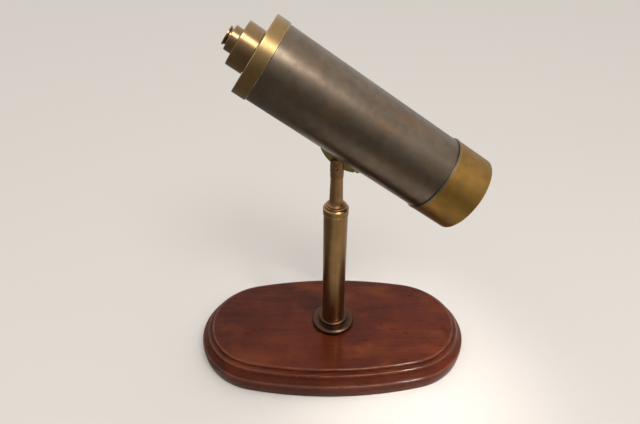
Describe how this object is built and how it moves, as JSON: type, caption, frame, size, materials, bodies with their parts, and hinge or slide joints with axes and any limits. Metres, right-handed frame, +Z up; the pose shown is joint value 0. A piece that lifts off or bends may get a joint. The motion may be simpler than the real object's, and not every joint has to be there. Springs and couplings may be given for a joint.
{
  "type": "table telescope",
  "caption": "Table telescope: a stout brass spyglass with nested draws, tilting and swivelling on a column over an oval moulded wooden base.",
  "frame": {"origin": "middle of the felt underside, on the surface that the base stands on, below the column", "axes": "+Z up the column, X along the long side of the oval base with the objective towards +X, Y across the base with the eyepiece end turned a little towards +Y"},
  "size_m": [0.2838, 0.1558, 0.3491],
  "materials": {
    "mahogany": "satin french polish over reddish grain",
    "green_felt": "plain cloth glued under the base",
    "plated_steel": "plain fasteners, out of sight",
    "foot_bronze": "dark bronzed",
    "column_brass": "aged, olive brown",
    "turned_brass": "bright, as turned, inside only",
    "post_bronze": "reddish bronze, satin",
    "fork_bronze": "dark bronzed, satin",
    "washer_leather": "plain",
    "saddle_brass": "yellow brass, satin",
    "barrel_bronze": "dark brown bronze, satin, mottled",
    "end_brass": "antique brass, satin",
    "draw_brass": "antique brass, satin",
    "blackened_brass": "blackened, matt",
    "lens_glass": "clear polished"
  },
  "bodies": {
    "stand": {"base_plinth": "mahogany", "base_felt": "green_felt", "column_bolt": "plated_steel", "bolt_washer": "plated_steel", "foot_flange": "foot_bronze", "column_plug": "turned_brass", "column_tube": "column_brass", "column_collar": "column_brass", "swivel_bush": "turned_brass"},
    "post": {"post_rod": "post_bronze", "post_washer": "plated_steel", "post_nut": "plated_steel", "fork_head": "fork_bronze", "pivot_screw": "fork_bronze", "friction_washers": "washer_leather"},
    "barrel": {"saddle_plate": "saddle_brass", "saddle_tongue": "saddle_brass", "saddle_rivets": "saddle_brass", "barrel_tube": "barrel_bronze", "barrel_lip_ring": "barrel_bronze", "barrel_end_collar": "end_brass", "draw_guide": "turned_brass", "light_stop": "blackened_brass", "objective_hood": "end_brass", "objective_cell": "blackened_brass", "flint_lens": "lens_glass", "crown_lens": "lens_glass", "objective_retaining_ring": "blackened_brass"},
    "draw_1": {"draw_1_tube": "draw_brass", "draw_1_collar": "draw_brass", "draw_1_guide": "turned_brass", "draw_1_stop_ring": "turned_brass"},
    "draw_2": {"draw_2_tube": "draw_brass", "draw_2_collar": "draw_brass", "draw_2_stop_ring": "turned_brass", "eyepiece_cell": "turned_brass", "eye_lens": "lens_glass", "field_lens": "lens_glass", "erector_cell": "turned_brass", "erector_lenses": "lens_glass", "eye_cup": "draw_brass"}
  },
  "joints": [
    {"name": "post_swivel", "type": "hinge", "parent": "stand", "child": "post", "pos_m": [0, 0, 0.172], "axis": [0, 0, 1], "continuous": true},
    {"name": "tube_tilt", "type": "hinge", "parent": "post", "child": "barrel", "pos_m": [0, 0, 0.2243], "axis": [0.1063, 0.9943, 0], "range_deg": [-78.4, 11.6]},
    {"name": "draw_1_slide", "type": "slide", "parent": "barrel", "child": "draw_1", "axis": [-0.8301, 0.0887, 0.5505], "range_m": [0, 0.115]},
    {"name": "draw_2_slide", "type": "slide", "parent": "draw_1", "child": "draw_2", "axis": [-0.8301, 0.0887, 0.5505], "range_m": [0, 0.08]}
  ]
}
